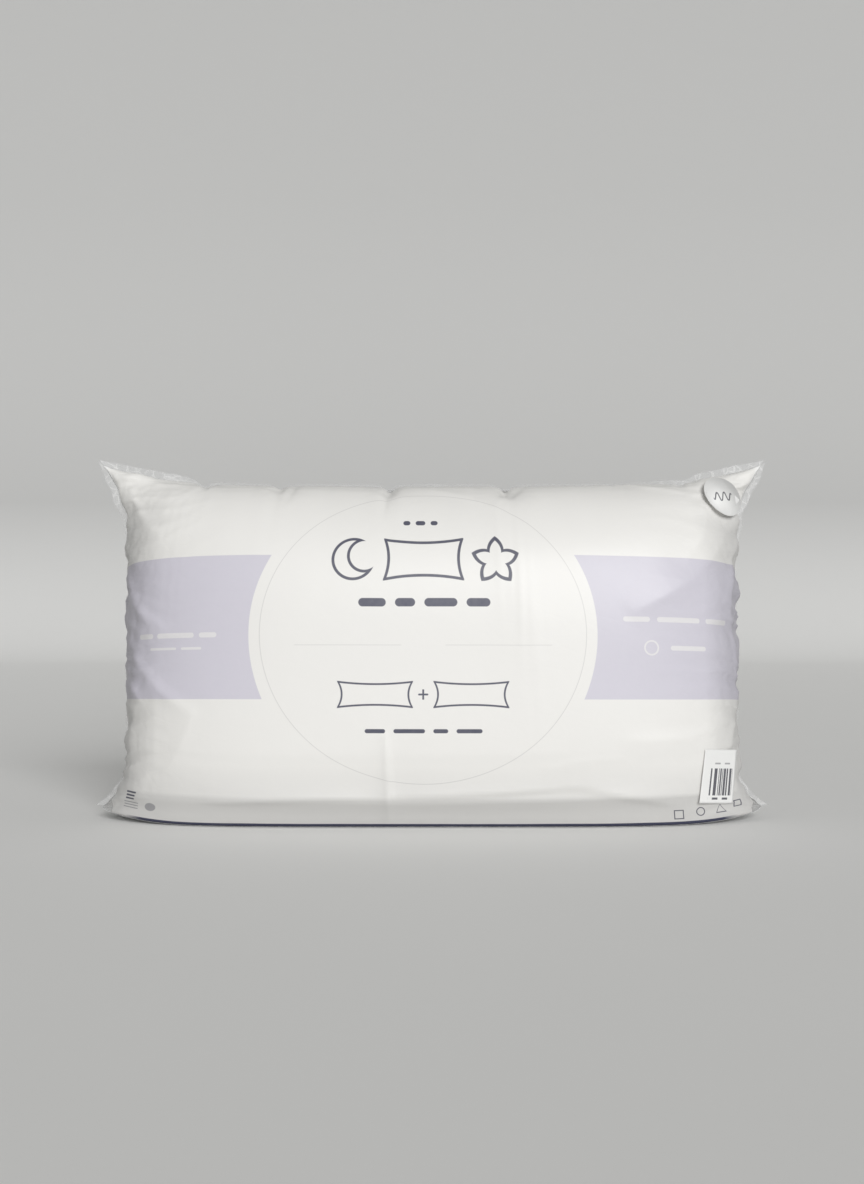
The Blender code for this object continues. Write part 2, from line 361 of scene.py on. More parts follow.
def pillow_gap(place, centre, half_width, half_height):
    """The distance from a pillow's outline, with its four corners drawn out to points."""
    across = abs(place[0] - centre[0])
    up = abs(place[1] - centre[1])
    side = across - half_width * (0.90 + 0.10 * (up * (1 / half_height)).min(1) ** 2)
    top = up - half_height * (0.82 + 0.18 * (across * (1 / half_width)).min(1) ** 2)
    return side.max(top)


def moon_gap(place, centre, radius):
    """The distance from a crescent's outline."""
    disc = circle_gap(place, centre, radius)
    bite = circle_gap(place, (centre[0] + radius * 0.55, centre[1] + radius * 0.18), radius * 0.80)
    return disc.max(0 - bite)


def star_gap(place, centre, radius):
    """The distance from a five-pointed star with soft points."""
    across = place[0] - centre[0]
    up = place[1] - centre[1]
    swing = (across.angle(up) * (5 / (2 * pi)) + 0.5).fraction() - 0.5
    reach = radius * (1 - 0.95 * abs(swing))
    return ((across**2 + up**2).maths("SQRT") - reach) * 0.62


def bars(place, centre, lengths, gap, half_height, soft=INK_EDGE):
    """A row of bars, centred, standing where a printer would set words."""
    whole = sum(lengths) + gap * (len(lengths) - 1)
    at = centre[0] - whole / 2
    made = []
    for one in lengths:
        made.append(bar(place, (at + one / 2, centre[1]), one / 2, half_height, soft))
        at += one + gap
    return outlined(made)


# ---------------------------------------------------------------- print and finishes

# The print on the front, in metres across from the flat sheet's middle and up from its bottom fold.
DISC = (-0.0095, 0.2155)
DISC_RADIUS, DISC_FLATTEN = 0.190, 0.965
RING_RADIUS, RING_FLATTEN = 0.178, 0.921
BAND_LOW, BAND_HIGH = 0.1427, 0.2997


def navy_print(place):
    """The navy pictograms inside the ring, and the small marks at the foot of the bag."""
    middle = DISC[0]
    picture_row, pair_row = 0.295, 0.148
    bold, thin = 0.0016, 0.0010
    plus_reach = 0.0055
    marks = [
        bars(place, (middle - 0.0035, 0.3376), (0.008, 0.011, 0.008), 0.006, 0.0028),
        stroke(moon_gap(place, (middle - 0.078, picture_row), 0.0225), bold),
        stroke(pillow_gap(place, (middle, picture_row), 0.043, 0.0225), bold),
        stroke(star_gap(place, (middle + 0.080, picture_row - 0.002), 0.0255), bold),
        bars(place, (middle + 0.001, 0.2471), (0.030, 0.022, 0.036, 0.026), 0.010, 0.0046),
        bar(place, (middle, pair_row), plus_reach, thin),
        stroke(abs(place[0] - middle), thin) * abs(place[1] - pair_row).below(plus_reach),
        bars(place, (middle + 0.0005, 0.1090), (0.022, 0.034, 0.016, 0.028), 0.009, 0.0022),
    ]
    for side in (-1, 1):
        marks.append(stroke(pillow_gap(place, (middle + side * 0.052, pair_row), 0.040, 0.0135), thin))
    return outlined(marks)


def foot_print(place):
    """Care pictograms at the right foot and a recycling block at the left one, in thin navy."""
    marks = []
    for k in range(4):
        centre = (0.270 + 0.0265 * k, 0.0125 + 0.0022 * k)
        across = abs(place[0] - centre[0])
        up = place[1] - centre[1]
        if k == 0:
            shape = across.max(abs(up)) - 0.0052
        elif k == 1:
            shape = circle_gap(place, centre, 0.0050)
        elif k == 2:
            shape = (across * 1.5 + up).max(0 - up - 0.0015) - 0.0042
        else:
            shape = (across * 0.7).max(abs(up)) - 0.0040
        marks.append(stroke(shape, 0.0006, SMALL_EDGE))
    for k in range(3):
        marks.append(bar(place, (-0.345, 0.034 - 0.004 * k), 0.009 - 0.001 * k, 0.0011, SMALL_EDGE))
    for k in range(3):
        marks.append(bar(place, (-0.343, 0.021 - 0.0035 * k), 0.012, 0.0006, SMALL_EDGE) * 0.6)
    marks.append(circle_gap(place, (-0.314, 0.0185), 0.0072, 0.72).below(0) * 0.55)
    return outlined(marks)


def white_print(place):
    """The white strokes on the band, left and right of the disc."""
    marks = [
        bars(place, (-0.285, 0.2125), (0.022, 0.046, 0.020), 0.006, 0.0028),
        bars(place, (-0.285, 0.1980), (0.036, 0.024), 0.006, 0.0014),
        bars(place, (0.275, 0.2300), (0.030, 0.052, 0.034), 0.008, 0.0028),
        bars(place, (0.284, 0.1990), (0.044,), 0.006, 0.0026),
        stroke(circle_gap(place, (0.240, 0.1990), 0.0075), 0.0009),
    ]
    return outlined(marks)


def front_dress(film, settings, place, colour_now, flow):
    """Lays the fine ring and rule, the white strokes and the navy marks on the front."""
    across, up, _ = place
    ring = stroke(circle_gap(place, DISC, RING_RADIUS, RING_FLATTEN), 0.00045, FINE_EDGE)
    rule_halves = abs(abs(across - DISC[0]) - 0.082).below(0.058, 0.002)
    rule = abs(up - 0.2011).below(0.00035, FINE_EDGE) * rule_halves
    colour_now = film.blend(ring.max(rule) * 0.75, colour_now, settings.rule_colour)
    colour_now = film.blend(white_print(place) * 0.62, colour_now, settings.film_colour)
    navy = navy_print(place).max(foot_print(place))
    return film.blend(navy * (0.90 + 0.08 * flow), colour_now, settings.ink_colour)


def film_relief(film, vector, across, weld):
    """The film's crinkle, stronger towards the sides, over a very fine grain."""
    crinkle = film.noise(vector, 26.0, 4.0, 0.55, 0.6)
    fold = film.cracks(film.stretched(vector, (1.0, 1.6, 1.0), 0.5), 34.0).min(0.12)
    side = (abs(across) - 0.26).max(0) * 9.0
    relief = crinkle * (0.35 + side) + fold * (0.4 + side * 3) + weld * 0.5
    grain = film.noise(vector, 420.0, 3.0, 0.6)
    normal = film.bump(relief, 0.30, 0.0016)
    return grain, film.bump(grain, 0.06, 0.0003, normal)


def printed_film(settings, name, dressed):
    """Polythene with its print. The plain side has the band alone."""
    film = Finish(name)
    vector, place = film.place("sheet_place")
    across, up, _ = place
    width, height = flat_size()
    inward = width / 2 - abs(across)
    cloud = film.noise(vector, 9.0, 3.0)
    flow = film.noise(vector, 160.0, 2.0)
    colour_now = film.blend(cloud, [c * 0.975 for c in settings.film_colour], settings.film_colour)
    band = abs(up - (BAND_LOW + BAND_HIGH) / 2).below((BAND_HIGH - BAND_LOW) / 2)
    if dressed:
        band = band * (1 - circle_gap(place, DISC, DISC_RADIUS, DISC_FLATTEN).below(0))
    colour_now = film.blend(band * (0.93 + 0.07 * flow), colour_now, settings.band_colour)
    if dressed:
        colour_now = front_dress(film, settings, place, colour_now, flow)
    # Painted shade: the film is darkened beside the side welds and along its foot, where its surface turns
    # away from the light.
    painted_shade_beside_welds = inward.below(0.070, 0.055) * up.below(0.365, 0.06) * 0.32
    painted_shade_along_foot = up.below(0.036, 0.005) * 0.15 + up.below(0.056, 0.030) * 0.16
    colour_now = film.blend(painted_shade_beside_welds.max(painted_shade_along_foot), colour_now, settings.painted_shade_colour)
    weld = (height - up).min(inward).below(0.0035)
    colour_now = film.blend(weld * 0.5, colour_now, settings.clear_colour)
    foot_line = (up - film.noise(vector, 6.0) * 0.0020).below(0.0028, SMALL_EDGE)
    colour_now = film.blend(foot_line * abs(across).below(0.335, 0.02), colour_now, settings.ink_colour)
    ear = 0.036 * (1 - up * (1 / 0.055)).max(0) ** 1.6
    unprinted = (inward - ear).below(0, 0.0015)
    grain, normal = film_relief(film, vector, across, weld)
    film.set(
        Base_Color=colour_now,
        Roughness=0.36 + 0.14 * cloud + 0.05 * grain,
        Alpha=1 - unprinted * (0.86 - 0.12 * cloud),
        Normal=normal,
        IOR=1.46,
        Coat_Roughness=0.22,
        Coat_Weight=0.12,
    )
    return film.material


def clear_film(settings, name, opacity):
    """Unprinted polythene: nearly clear, crinkled, whiter along its folds."""
    film = Finish(name)
    vector, _ = film.place()
    fold = film.cracks(vector, 95.0).below(0.06, 0.07)
    haze = film.noise(vector, 55.0, 3.0)
    film.material.surface_render_method = "BLENDED"
    normal = film.bump(film.noise(vector, 110.0, 4.0, 0.6, 0.8), 0.30, 0.0010)
    normal = film.bump(fold, 0.4, 0.0006, normal)
    film.set(
        Base_Color=film.blend(fold, settings.clear_colour, (0.97, 0.97, 0.97)),
        Roughness=0.20 + 0.16 * haze,
        Alpha=(opacity + 0.10 * fold + 0.08 * haze).min(1),
        Normal=normal,
        IOR=1.50,
    )
    return film.material


def sticker_paper(settings, name, marks):
    """White paper with a coated face. marks draws its ink from the place on the sticker."""
    paper = Finish(name)
    vector, place = paper.place("sheet_place")
    fibre = paper.noise(vector, 900.0, 3.0)
    tone = paper.noise(vector, 40.0, 2.0)
    ground = paper.blend(tone, [c * 0.96 for c in settings.paper_colour], settings.paper_colour)
    inked = paper.blend(marks(paper, place) * (0.82 + 0.18 * fibre), ground, settings.ink_colour)
    paper.set(
        Base_Color=inked,
        Roughness=0.44 + 0.12 * fibre,
        Normal=paper.bump(fibre, 0.10, 0.0002),
    )
    return paper.material


def pen_line(paper, place):
    """A plain pen squiggle where a shop would write."""
    across, up, _ = place
    waves = 620.0
    swing = 0.0050
    wave = (across * waves).sine() * swing + (across * 190.0).sine() * 0.0018
    slope = (across * waves + pi / 2).sine() * (swing * waves)
    line = (abs(up - wave) / (slope * slope + 1) ** 0.5).below(0.0008, SMALL_EDGE)
    return line * abs(across).below(0.0135, 0.001)


def barcode_bars(paper, place):
    """Upright bars of uneven width, with a plain row of marks above and below."""
    across, up, _ = place
    cell = ((across + 0.05) * 900.0).floor()
    settings = {"noise_dimensions": "1D"}
    chance = Signal(paper, paper.node("ShaderNodeTexWhiteNoise", settings, {"W": cell}).outputs["Value"])
    inside = abs(across - 0.003).below(0.0175, 0.0003)
    tall = abs(up + 0.006).below(0.0150, SMALL_EDGE)
    small = (across * 420.0).sine().below(0.2, 0.3)
    low_row = abs(up + 0.0245).below(0.0012, SMALL_EDGE)
    high_row = abs(up - 0.0145).below(0.0009, SMALL_EDGE) * 0.6
    rows = low_row.max(high_row)
    return (chance.below(0.5, 0.02) * tall * inside).max(rows * small * inside)


def microfibre(settings, name):
    """Close brushed cloth: a fine plain weave under a soft nap."""
    cloth = Finish(name)
    vector, (x, y, z) = cloth.place()
    warp = ((x + y * 0.5) * 5200.0).sine()
    weft = ((z + y * 0.5) * 5200.0).sine()
    nap = cloth.noise(vector, 700.0, 4.0, 0.65)
    soft = cloth.noise(vector, 14.0, 3.0)
    shade = cloth.blend(soft, [c * 0.94 for c in settings.cover_colour], settings.cover_colour)
    cloth.set(
        Base_Color=cloth.blend(nap * 0.25, shade, [c * 0.88 for c in settings.cover_colour]),
        Roughness=0.82 + 0.12 * nap,
        Normal=cloth.bump(warp * weft * 0.35 + nap, 0.25, 0.0003),
        Sheen_Weight=0.35,
        Sheen_Roughness=0.45,
    )
    return cloth.material


def sewing_thread(settings, name, stitches_per_metre):
    """Looped thread lying across a seam."""
    thread = Finish(name)
    vector, (x, y, z) = thread.place()
    loop = ((x + z) * (2 * pi * stitches_per_metre)).sine()
    twist = ((x - z + y * 2) * 9000.0).sine()
    fuzz = thread.noise(vector, 1200.0, 2.0)
    # Painted shade: the thread darkens between the stitch loops, in step with their bump.
    loop_valley_shade = [c * 0.72 for c in settings.thread_colour]
    thread.set(
        Base_Color=thread.blend((loop * 0.5 + 0.5) ** 0.6, loop_valley_shade, settings.thread_colour),
        Roughness=0.62 + 0.2 * fuzz,
        Normal=thread.bump(loop + twist * 0.2 + fuzz * 0.3, 0.8, 0.0005),
        Sheen_Weight=0.2,
    )
    return thread.material


def hollow_fibre(settings, name):
    """Loose crimped fibre, matted into tufts."""
    fibre = Finish(name)
    vector, _ = fibre.place()
    crimp = fibre.noise(fibre.stretched(vector, (1.0, 3.0, 1.0), 0.4), 260.0, 6.0, 0.7, 1.6)
    tuft = fibre.noise(vector, 38.0, 4.0, 0.6, 0.5)
    shadow = [c * 0.80 for c in settings.fibre_colour]
    fibre.set(
        Base_Color=fibre.blend(crimp * 0.4 + tuft * 0.6, shadow, settings.fibre_colour),
        Roughness=0.86 + 0.1 * crimp,
        Normal=fibre.bump(crimp * 0.6 + tuft, 0.9, 0.0022),
        Sheen_Weight=0.5,
    )
    return fibre.material


def woven_tag(settings, name):
    """Satin tape with woven lines in place of words."""
    tag = Finish(name)
    vector, (x, _, z) = tag.place()
    rib = ((x + z) * 7000.0).sine()
    lines = abs((z * 160.0).fraction() - 0.5).below(0.18, 0.1)
    yarn = tag.noise(vector, 900.0, 2.0)
    ink = [c * 0.35 for c in settings.tag_colour]
    tag.set(
        Base_Color=tag.blend(lines * yarn, settings.tag_colour, ink),
        Roughness=0.35 + 0.2 * yarn,
        Normal=tag.bump(rib * 0.4 + yarn * 0.5, 0.4, 0.0002),
        Sheen_Weight=0.2,
    )
    return tag.material


def studio_floor(settings, name):
    """Matt backdrop paper, painted darker up the wall as shade."""
    floor = Finish(name)
    vector, (_, _, z) = floor.place()
    mottle = floor.noise(vector, 3.0, 3.0)
    # Painted shade: the paper is drawn to 60 % of its colour as it rises into the wall, standing in for less
    # light there.
    risen = (z * 1.5).max(0).min(1)
    tooth = floor.noise(vector, 500.0, 2.0)
    lit = floor.blend(mottle, [c * 0.985 for c in settings.floor_colour], settings.floor_colour)
    floor.set(
        Base_Color=floor.blend(risen, lit, [c * 0.60 for c in settings.floor_colour]),
        Roughness=0.85 + 0.08 * tooth,
        Normal=floor.bump(tooth, 0.03, 0.0003),
        Specular_IOR_Level=0.2,
    )
    return floor.material


# ---------------------------------------------------------------- the bag's lines


def resampled(line, count):
    """The points of a line at equal steps along it."""
    steps = np.linalg.norm(np.diff(line, axis=0), axis=1)
    along = np.concatenate([[0], np.cumsum(steps)])
    wanted = np.linspace(0, along[-1], count)
    return np.column_stack([np.interp(wanted, along, line[:, k]) for k in range(line.shape[1])])


def length_of(line):
    return float(np.linalg.norm(np.diff(line, axis=0), axis=1).sum())


def bulge(across, depth, count):
    """A level section of the bag's face, from (-across, 0) out to depth and back to (across, 0)."""
    reach = np.sin(np.linspace(-pi / 2, pi / 2, 4001))
    out = depth * np.clip(1 - np.abs(reach) ** SIDE_POWER, 0, 1) ** (1 / ROUND_POWER)
    return resampled(np.column_stack([across * reach, out]), count)


def half_depth(z):
    """How far the face stands out at a height."""
    drop = np.clip((BELLY - z) / BELLY, 0, 1)
    rise = np.clip((z - BELLY) / (BODY_TOP - BELLY), 0, 1)
    low = DEEPEST - (DEEPEST - BASE_HALF_DEPTH) * drop**BELLY_POWER
    high = DEEPEST * (1 - rise**TOP_POWER) ** (1 / ROUND_POWER)
    return np.where(z < BELLY, low, high)


def top_line(gathered=True):
    """The top weld from ear to ear, drawn down and waved at its gathers."""
    x = np.linspace(-EAR_TIP, EAR_TIP, 3001)
    side = np.abs(x) / EAR_TIP
    z = BODY_TOP + (EAR_TOP - BODY_TOP) * side**EAR_POWER
    y = 0 * x
    if gathered:
        for place, depth, half_width in GATHERS:
            z = z - depth * np.exp(-(np.abs((x - place) / half_width) ** GATHER_POWER))
        wave = 0.0012
        y = wave * np.sin(x * 150) * (1 - side**6) + wave * np.sin(x * 71 + 1)
    return np.column_stack([x, y, z])


def side_line(side, gathered=True):
    """A side weld from the low ear up to the top ear."""
    z = np.linspace(LOW_EAR_RISE, EAR_TOP, 2001)
    high = np.clip(1 - (EAR_TOP - z) / EAR_DROP, 0, 1) ** EAR_SIDE_POWER
    low = np.clip(1 - (z - LOW_EAR_RISE) / LOW_EAR_DROP, 0, 1) ** LOW_EAR_SIDE_POWER
    x = BODY_HALF + (EAR_TIP - BODY_HALF) * np.maximum(low, high)
    y = 0 * z
    if gathered:
        free = (1 - low) * (1 - high)
        y = 0.003 * np.sin(z * 120 + side) * free
        x = x + (0.0016 * np.sin(z * 97 + 2 * side) + 0.0012 * np.sin(z * 231)) * free
    return np.column_stack([side * x, y, z])


def bottom_line(facing):
    """The front or back bottom fold, from the left ear to the right one."""
    reach = bulge(BODY_HALF, BASE_HALF_DEPTH, 2001)
    ear = (np.abs(reach[:, 0]) / BODY_HALF) ** LOW_EAR_POWER
    x = reach[:, 0] + np.sign(reach[:, 0]) * (EAR_TIP - BODY_HALF) * ear
    z = FLOOR_GAP + (LOW_EAR_RISE - FLOOR_GAP) * ear
    return np.column_stack([x, facing * reach[:, 1], z])


def flat_size():
    """The width and height of one face of the bag before the pillows fill it."""
    z = np.linspace(0, BODY_TOP, 801)
    return length_of(bulge(BODY_HALF, DEEPEST, 801)), length_of(np.column_stack([z, half_depth(z)]))


def edge_pull(gaps, width, height):
    """How far the gaps at the left, right, bottom and top edges pull each point of the sheet."""
    left, right, bottom, top = gaps
    u = np.linspace(0, width, bottom.shape[0])[None, :, None]
    v = np.linspace(0, height, left.shape[0])[:, None, None]
    near_left, near_right = np.exp(-u / EDGE_REACH), np.exp(-(width - u) / EDGE_REACH)
    near_bottom, near_top = np.exp(-v / EDGE_REACH), np.exp(-(height - v) / EDGE_REACH)
    corners = (
        near_left * near_bottom * bottom[0]
        + near_right * near_bottom * bottom[-1]
        + near_left * near_top * top[0]
        + near_right * near_top * top[-1]
    )
    sides = near_left * left[:, None] + near_right * right[:, None]
    return sides + near_bottom * bottom[None] + near_top * top[None] - corners


def start_points(facing):
    """Where one face's points start, row by row from the bottom."""
    width, height = flat_size()
    grid = np.empty((ROWS + 1, COLUMNS + 1, 3))
    left = resampled(side_line(-1, False), ROWS + 1)
    z_fine = np.linspace(FLOOR_GAP, BODY_TOP, 1001)
    upright = resampled(np.column_stack([half_depth(z_fine), z_fine]), ROWS + 1)
    for row in range(ROWS + 1):
        depth = max(upright[row, 0], 0.0005)
        ring = bulge(BODY_HALF, depth, COLUMNS + 1)
        grid[row, :, 0] = ring[:, 0]
        grid[row, :, 1] = facing * ring[:, 1]
        grid[row, :, 2] = left[row, 2] + (upright[row, 1] - left[row, 2]) * ring[:, 1] / depth
    edges = (
        resampled(side_line(-1), ROWS + 1),
        resampled(side_line(1), ROWS + 1),
        resampled(bottom_line(facing), COLUMNS + 1),
        resampled(top_line(), COLUMNS + 1),
    )
    own = (grid[:, 0], grid[:, -1], grid[0], grid[-1])
    grid = grid + edge_pull([edge - mine for edge, mine in zip(edges, own)], width, height)
    return grid


# ---------------------------------------------------------------- making meshes


def grid_spots(shape, columns, rows):
    """Adds a plain grid to a bmesh and gives each new point with its row and column."""
    made = bmesh.ops.create_grid(shape, x_segments=columns, y_segments=rows, size=1.0)
    for vertex in made["verts"]:
        x, y, _ = vertex.co
        yield vertex, round((y + 1) / 2 * rows), round((x + 1) / 2 * columns)


def lofted(name, points, places=None):
    """A sheet through rows of points, made from a plain grid. places are kept as sheet_place."""
    rows, columns = points.shape[0] - 1, points.shape[1] - 1
    shape = bmesh.new()
    kept = shape.verts.layers.float_vector.new("sheet_place")
    for vertex, row, column in grid_spots(shape, columns, rows):
        vertex.co = points[row, column]
        if places is not None:
            vertex[kept] = places[row, column]
    return finished(name, shape)


def finished(name, shape, smooth=True):
    """Turns a bmesh into an object in the scene."""
    mesh = bpy.data.meshes.new(name)
    shape.to_mesh(mesh)
    shape.free()
    piece = bpy.data.objects.new(name, mesh)
    bpy.context.scene.collection.objects.link(piece)
    if smooth:
        mesh.shade_smooth()
    return piece


def flipped(piece):
    """Turns every face of a piece the other way."""
    shape = bmesh.new()
    shape.from_mesh(piece.data)
    bmesh.ops.reverse_faces(shape, faces=shape.faces)
    shape.to_mesh(piece.data)
    shape.free()


def thickened(piece, thickness, offset=-1.0):
    wall = piece.modifiers.new("Thickness", "SOLIDIFY")
    wall.thickness = thickness
    wall.offset = offset
    wall.use_even_offset = False


def dressed(piece, material, slot, *nodes):
    """Gives a piece its finish and its body, and hides the CAD nodes that it stands for."""
    piece.data.materials.clear()
    piece.data.materials.append(material)
    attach(piece, "root")
    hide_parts(*nodes)
    return piece


# ---------------------------------------------------------------- the film


def welded_film():
    """Front and back sheets as one mesh, joined at the sides and the top, faces outwards."""
    shape = bmesh.new()
    across = shape.verts.layers.float.new("across")
    up = shape.verts.layers.float.new("up")
    for facing in (-1, 1):
        known = set(shape.faces)
        start = start_points(facing)
        for vertex, row, column in grid_spots(shape, COLUMNS, ROWS):
            vertex[across] = column
            vertex[up] = row
            vertex.co = start[row, column]
        if facing > 0:
            bmesh.ops.reverse_faces(shape, faces=list(set(shape.faces) - known))
    rims = [v for v in shape.verts if v[across] in (0, COLUMNS) or v[up] == ROWS]
    bmesh.ops.remove_doubles(shape, verts=rims, dist=0.00005)
    return shape


def held_film():
    """The welded film with its flat cut as a rest shape and its edges held."""
    shape = welded_film()
    across = shape.verts.layers.float["across"]
    up = shape.verts.layers.float["up"]
    width, height = flat_size()
    flat = []
    held = []
    for vertex in shape.verts:
        column, row = vertex[across], vertex[up]
        flat.append(((column / COLUMNS - 0.5) * width, 0.0, row / ROWS * height))
        if row in (0, ROWS) or column in (0, COLUMNS):
            held.append(len(flat) - 1)
    bag = finished("film_in_the_making", shape)
    bag.shape_key_add(name="Basis")
    key = bag.shape_key_add(name="flat cut")
    key.data.foreach_set("co", np.array(flat, dtype=np.float32).ravel())
    key.value = 0
    bag.vertex_groups.new(name="held").add(held, 1.0, "REPLACE")
    return bag, key


def stuffing():
    """The pillows' shared outline, which the film lies on while it swells."""
    shrink, below_weld, short_of_welds, above_floor = 0.003, 0.003, 0.004, 0.004
    columns, rows = 96, 48
    shape = bmesh.new()
    z_fine = np.linspace(above_floor, BODY_TOP - shrink - below_weld, 801)
    upright = resampled(np.column_stack([np.maximum(half_depth(z_fine) - shrink, 0), z_fine]), rows + 1)
    half = BODY_HALF - shrink - short_of_welds
    rings = [bulge(half, max(depth, 0.00001), columns + 1) for depth, _ in upright]
    for facing in (-1, 1):
        for vertex, row, column in grid_spots(shape, columns, rows):
            x, y = rings[row][column]
            vertex.co = (x, facing * y, upright[row, 1])
    bmesh.ops.remove_doubles(shape, verts=shape.verts, dist=0.0001)
    bmesh.ops.holes_fill(shape, edges=[edge for edge in shape.edges if edge.is_boundary])
    bmesh.ops.recalc_face_normals(shape, faces=shape.faces)
    body = finished("stuffing", shape)
    body.modifiers.new("Collision", "COLLISION")
    body.collision.thickness_outer = 0.0015
    body.collision.cloth_friction = 2
    body.collision.use_culling = False
    return body


# How polythene behaves as cloth.
POLYTHENE = {
    "quality": 8,
    "mass": 0.15,
    "air_damping": 2,
    "tension_stiffness": 60,
    "compression_stiffness": 40,
    "shear_stiffness": 30,
    "bending_stiffness": 0.02,
    "tension_damping": 10,
    "compression_damping": 10,
    "shear_damping": 10,
    "bending_damping": 0.5,
}


def swollen(pressure, frames=20):
    """Runs the film as cloth over the stuffing. Returns each face's points, row by row."""
    bag, key = held_film()
    body = stuffing()
    cloth = bag.modifiers.new("Cloth", "CLOTH")
    settings = cloth.settings
    for name, value in POLYTHENE.items():
        setattr(settings, name, value)
    settings.vertex_group_mass = "held"
    settings.rest_shape_key = key
    settings.use_pressure = True
    settings.uniform_pressure_force = pressure
    settings.effector_weights.gravity = 0
    cloth.collision_settings.collision_quality = 3
    cloth.collision_settings.distance_min = 0.001
    cloth.collision_settings.use_self_collision = False
    cloth.point_cache.frame_end = frames + 1
    for step in range(1, frames + 1):
        bpy.context.scene.frame_set(step)
    settled = bag.evaluated_get(bpy.context.evaluated_depsgraph_get())
    points = points_of(settled.data)
    for helper in (bag, body):
        bpy.data.objects.remove(helper)
    bpy.context.scene.frame_set(1)
    return points


def points_of(mesh):
    """The two faces' points from the welded film's mesh, by the column and row that each has."""
    count = len(mesh.vertices)
    co = np.empty(count * 3, np.float32)
    mesh.vertices.foreach_get("co", co)
    co = co.reshape(-1, 3).astype(float)
    column = np.empty(count, np.float32)
    row = np.empty(count, np.float32)
    mesh.attributes["across"].data.foreach_get("value", column)
    mesh.attributes["up"].data.foreach_get("value", row)
    faces = {}
    for facing in (-1, 1):
        grid = np.zeros((ROWS + 1, COLUMNS + 1, 3))
        inner = (column > 0.5) & (column < COLUMNS - 0.5) & (row < ROWS - 0.5)
        mine = ~inner | (co[:, 1] * facing > 0)
        grid[row[mine].round().astype(int), column[mine].round().astype(int)] = co[mine]
        faces[facing] = grid
    return faces


def calmed(grid, start):
    """The simulated shape with most of its small pleats eased out, and more of them left at the sides."""
    passes, kept, kept_at_sides = 14, 0.10, 0.35
    moved = grid - start
    soft = moved.copy()
    for _ in range(passes):
        soft[1:-1, 1:-1] = (
            soft[1:-1, 1:-1] * 2 + soft[:-2, 1:-1] + soft[2:, 1:-1] + soft[1:-1, :-2] + soft[1:-1, 2:]
        ) / 6
    across = np.abs(np.linspace(-1, 1, grid.shape[1]))[None, :, None]
    return start + soft + (moved - soft) * (kept + kept_at_sides * across**5)


def refined(grid, times):
    """A finer grid through the same points, by cubic interpolation both ways."""
    for axis in (0, 1):
        moved = np.moveaxis(grid, axis, 0)
        last = moved.shape[0] - 1
        at = np.arange(last * times + 1) / times
        base = np.minimum(at.astype(int), last - 1)
        t = (at - base)[:, None, None]
        picks = [moved[np.clip(base + shift, 0, last)] for shift in (-1, 0, 1, 2)]
        moved = 0.5 * (
            2 * picks[1]
            + (picks[2] - picks[0]) * t
            + (2 * picks[0] - 5 * picks[1] + 4 * picks[2] - picks[3]) * t**2
            + (3 * picks[1] - picks[0] - 3 * picks[2] + picks[3]) * t**3
        )
        grid = np.moveaxis(moved, 0, axis)
    return grid


def face_normals(grid, facing):
    """The outward direction at each point of a face."""
    along = np.gradient(grid, axis=1)
    up = np.gradient(grid, axis=0)
    normal = np.cross(along, up)
    size = np.linalg.norm(normal, axis=2, keepdims=True)
    return -facing * normal / np.maximum(size, 1e-12)


# Creases in the front film: both ends in the flat sheet, sideways bow, height and the width of
# the crease on its left and right sides, looking from its first end to its last.
FRONT_CREASES = (
    ((-0.300, 0.086), (0.290, 0.090), -0.004, 0.0075, 0.1000, 0.0420),
    ((-0.330, 0.032), (0.310, 0.038), -0.003, 0.0074, 0.0120, 0.0150),
    ((-0.0497, 0.104), (-0.0470, 0.010), 0.001, 0.0026, 0.0026, 0.0060),
    ((-0.240, 0.030), (-0.048, 0.0365), 0.002, 0.0036, 0.0180, 0.0032),
    ((-0.050, 0.0385), (0.165, 0.0485), -0.002, 0.0040, 0.0220, 0.0030),
    ((0.155, 0.047), (0.262, 0.026), 0.001, 0.0026, 0.0180, 0.0040),
    ((0.125, 0.068), (0.215, 0.078), 0.004, 0.0009, 0.0040, 0.0080),
    ((-0.1655, 0.428), (-0.1700, 0.372), 0.002, -0.0022, 0.0040, 0.0060),
    ((-0.0458, 0.426), (-0.0560, 0.350), -0.002, -0.0026, 0.0040, 0.0060),
    ((0.0920, 0.424), (0.0800, 0.380), 0.004, -0.0026, 0.0035, 0.0070),
    ((-0.030, 0.398), (0.075, 0.356), 0.008, 0.0008, 0.0060, 0.0060),
    ((0.345, 0.330), (0.225, 0.240), 0.010, 0.0034, 0.0120, 0.0200),
    ((0.330, 0.372), (0.290, 0.300), 0.006, 0.0022, 0.0080, 0.0120),
    ((0.372, 0.330), (0.352, 0.235), -0.008, 0.0040, 0.0050, 0.0080),
    ((0.352, 0.240), (0.362, 0.120), 0.005, 0.0038, 0.0060, 0.0080),
    ((0.362, 0.125), (0.345, 0.085), -0.004, 0.0024, 0.0050, 0.0070),
    ((0.210, 0.100), (0.345, 0.122), -0.010, 0.0020, 0.0080, 0.0140),
    ((-0.372, 0.292), (-0.300, 0.222), -0.006, 0.0044, 0.0060, 0.0120),
    ((-0.366, 0.262), (-0.318, 0.226), 0.004, 0.0030, 0.0040, 0.0080),
    ((-0.360, 0.215), (-0.262, 0.128), -0.008, 0.0038, 0.0070, 0.0140),
    ((-0.365, 0.165), (-0.330, 0.140), 0.004, 0.0032, 0.0050, 0.0070),
    ((-0.262, 0.128), (-0.300, 0.060), 0.006, 0.0014, 0.0100, 0.0120),
    ((-0.375, 0.395), (-0.318, 0.330), -0.006, 0.0040, 0.0060, 0.0120),
    ((-0.360, 0.412), (-0.255, 0.402), 0.004, 0.0012, 0.0030, 0.0060),
    ((0.300, 0.395), (0.235, 0.420), 0.004, 0.0018, 0.0050, 0.0080),
)

